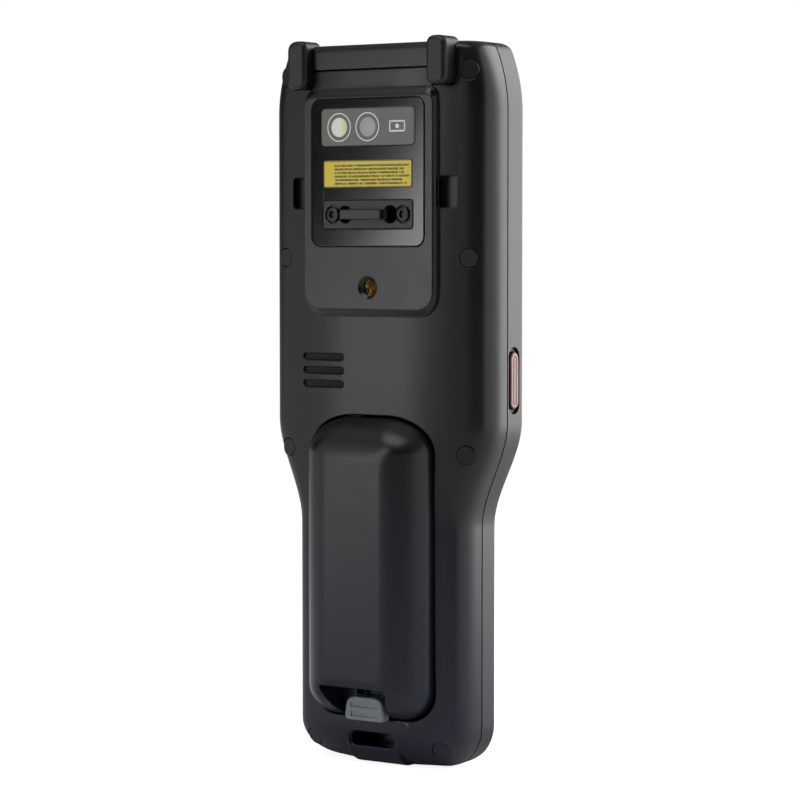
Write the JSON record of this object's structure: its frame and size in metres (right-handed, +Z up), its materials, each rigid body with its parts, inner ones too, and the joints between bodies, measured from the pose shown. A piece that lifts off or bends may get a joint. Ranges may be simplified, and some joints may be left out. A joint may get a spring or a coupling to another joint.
{
  "type": "portable barcode data terminal",
  "caption": "Handheld barcode terminal with a wide display head, narrow keypad grip, rear camera panel, rubber horns and a swing-out battery pack held by a sliding latch.",
  "frame": {"origin": "centre of the bounding box, on the plane of the foot", "axes": "+Z up the body to the scan end, -Y out of the display, +Y out of the battery, +X to the right seen from the display side"},
  "size_m": [0.0848, 0.0374, 0.2346],
  "materials": {
    "housing": "fine moulded grain, slight sheen",
    "front_shell": "fine moulded grain, a little lighter",
    "rubber": "matt soft rubber",
    "scan_glass": "polished, dark red",
    "black_plastic": "satin",
    "gloss_panel": "glossy with faint scratches",
    "window": "polished, grey olive",
    "lamp": "clear lens over a pale phosphor",
    "label": "printed film",
    "dark_metal": "black coated",
    "steel": "plain",
    "brass": "turned",
    "mesh": "fine black mesh",
    "board": "solder mask",
    "touch_glass": "polished glass over a dark display",
    "silicone": "matt silicone",
    "battery_shell": "fine moulded grain",
    "cell": "shrink sleeve",
    "gold": "gold plated",
    "latch": "satin grey",
    "button": "satin grey",
    "button_red": "satin red",
    "scan_key": "satin red",
    "keycap": "satin pale grey"
  },
  "bodies": {
    "housing": {"rear_housing": "housing", "front_housing": "front_shell", "housing_seal": "rubber", "scan_hood": "housing", "bumper_left": "rubber", "bumper_right": "rubber", "scan_window": "scan_glass", "scan_engine": "black_plastic", "camera_panel": "gloss_panel", "camera_window": "window", "camera_module": "black_plastic", "flash_led": "lamp", "label_plate": "label", "strap_bar": "dark_metal", "strap_screws": "steel", "threaded_insert": "brass", "case_screws": "steel", "screw_plugs": "rubber", "loudspeaker": "black_plastic", "speaker_mesh": "mesh", "main_board": "board", "display_panel": "black_plastic", "touch_glass": "touch_glass", "keypad_board": "board", "key_mat": "silicone", "well_contacts": "gold", "dock_connector": "black_plastic", "side_switches": "black_plastic", "vibration_motor": "steel"},
    "battery": {"battery_case": "battery_shell", "battery_inner_cover": "battery_shell", "battery_cells": "cell", "battery_contacts": "gold", "latch_spring": "steel"},
    "latch": {"battery_latch": "latch"},
    "button_left": {"scan_button_left": "button", "button_ring_left": "button_red"},
    "button_right": {"scan_button_right": "button", "button_ring_right": "button_red"},
    "cap_scan": {"key_scan": "scan_key"},
    "cap_soft_left": {"key_soft_left": "keycap"},
    "cap_soft_right": {"key_soft_right": "keycap"},
    "cap_navigation": {"key_navigation": "keycap"},
    "cap_1": {"key_1": "keycap"},
    "cap_2": {"key_2": "keycap"},
    "cap_3": {"key_3": "keycap"},
    "cap_4": {"key_4": "keycap"},
    "cap_5": {"key_5": "keycap"},
    "cap_6": {"key_6": "keycap"},
    "cap_7": {"key_7": "keycap"},
    "cap_8": {"key_8": "keycap"},
    "cap_9": {"key_9": "keycap"},
    "cap_0": {"key_0": "keycap"},
    "cap_star": {"key_star": "keycap"},
    "cap_hash": {"key_hash": "keycap"},
    "cap_power": {"key_power": "keycap"},
    "cap_back": {"key_back": "keycap"},
    "cap_shift": {"key_shift": "keycap"},
    "cap_enter": {"key_enter": "keycap"}
  },
  "joints": [
    {"name": "battery_swing", "type": "hinge", "parent": "housing", "child": "battery", "pos_m": [0, 0.00685, 0.1132], "axis": [1, 0, 0], "range_deg": [0, 25]},
    {"name": "latch_slide", "type": "slide", "parent": "battery", "child": "latch", "axis": [0, 0, 1], "range_m": [0, 0.0022], "stiffness_N_per_m": 900, "deforming": ["latch_spring"]},
    {"name": "scan_left_press", "type": "slide", "parent": "housing", "child": "button_left", "axis": [1, 0, 0], "range_m": [0, 0.0007], "stiffness_N_per_m": 1200},
    {"name": "scan_right_press", "type": "slide", "parent": "housing", "child": "button_right", "axis": [-1, 0, 0], "range_m": [0, 0.0007], "stiffness_N_per_m": 1200},
    {"name": "scan_press", "type": "slide", "parent": "housing", "child": "cap_scan", "axis": [0, 1, 0], "range_m": [0, 0.0006], "stiffness_N_per_m": 1000},
    {"name": "soft_left_press", "type": "slide", "parent": "housing", "child": "cap_soft_left", "axis": [0, 1, 0], "range_m": [0, 0.0006], "stiffness_N_per_m": 1000},
    {"name": "soft_right_press", "type": "slide", "parent": "housing", "child": "cap_soft_right", "axis": [0, 1, 0], "range_m": [0, 0.0006], "stiffness_N_per_m": 1000},
    {"name": "navigation_press", "type": "slide", "parent": "housing", "child": "cap_navigation", "axis": [0, 1, 0], "range_m": [0, 0.0006], "stiffness_N_per_m": 1000},
    {"name": "1_press", "type": "slide", "parent": "housing", "child": "cap_1", "axis": [0, 1, 0], "range_m": [0, 0.0006], "stiffness_N_per_m": 1000},
    {"name": "2_press", "type": "slide", "parent": "housing", "child": "cap_2", "axis": [0, 1, 0], "range_m": [0, 0.0006], "stiffness_N_per_m": 1000},
    {"name": "3_press", "type": "slide", "parent": "housing", "child": "cap_3", "axis": [0, 1, 0], "range_m": [0, 0.0006], "stiffness_N_per_m": 1000},
    {"name": "4_press", "type": "slide", "parent": "housing", "child": "cap_4", "axis": [0, 1, 0], "range_m": [0, 0.0006], "stiffness_N_per_m": 1000},
    {"name": "5_press", "type": "slide", "parent": "housing", "child": "cap_5", "axis": [0, 1, 0], "range_m": [0, 0.0006], "stiffness_N_per_m": 1000},
    {"name": "6_press", "type": "slide", "parent": "housing", "child": "cap_6", "axis": [0, 1, 0], "range_m": [0, 0.0006], "stiffness_N_per_m": 1000},
    {"name": "7_press", "type": "slide", "parent": "housing", "child": "cap_7", "axis": [0, 1, 0], "range_m": [0, 0.0006], "stiffness_N_per_m": 1000},
    {"name": "8_press", "type": "slide", "parent": "housing", "child": "cap_8", "axis": [0, 1, 0], "range_m": [0, 0.0006], "stiffness_N_per_m": 1000},
    {"name": "9_press", "type": "slide", "parent": "housing", "child": "cap_9", "axis": [0, 1, 0], "range_m": [0, 0.0006], "stiffness_N_per_m": 1000},
    {"name": "0_press", "type": "slide", "parent": "housing", "child": "cap_0", "axis": [0, 1, 0], "range_m": [0, 0.0006], "stiffness_N_per_m": 1000},
    {"name": "star_press", "type": "slide", "parent": "housing", "child": "cap_star", "axis": [0, 1, 0], "range_m": [0, 0.0006], "stiffness_N_per_m": 1000},
    {"name": "hash_press", "type": "slide", "parent": "housing", "child": "cap_hash", "axis": [0, 1, 0], "range_m": [0, 0.0006], "stiffness_N_per_m": 1000},
    {"name": "power_press", "type": "slide", "parent": "housing", "child": "cap_power", "axis": [0, 1, 0], "range_m": [0, 0.0006], "stiffness_N_per_m": 1000},
    {"name": "back_press", "type": "slide", "parent": "housing", "child": "cap_back", "axis": [0, 1, 0], "range_m": [0, 0.0006], "stiffness_N_per_m": 1000},
    {"name": "shift_press", "type": "slide", "parent": "housing", "child": "cap_shift", "axis": [0, 1, 0], "range_m": [0, 0.0006], "stiffness_N_per_m": 1000},
    {"name": "enter_press", "type": "slide", "parent": "housing", "child": "cap_enter", "axis": [0, 1, 0], "range_m": [0, 0.0006], "stiffness_N_per_m": 1000}
  ]
}
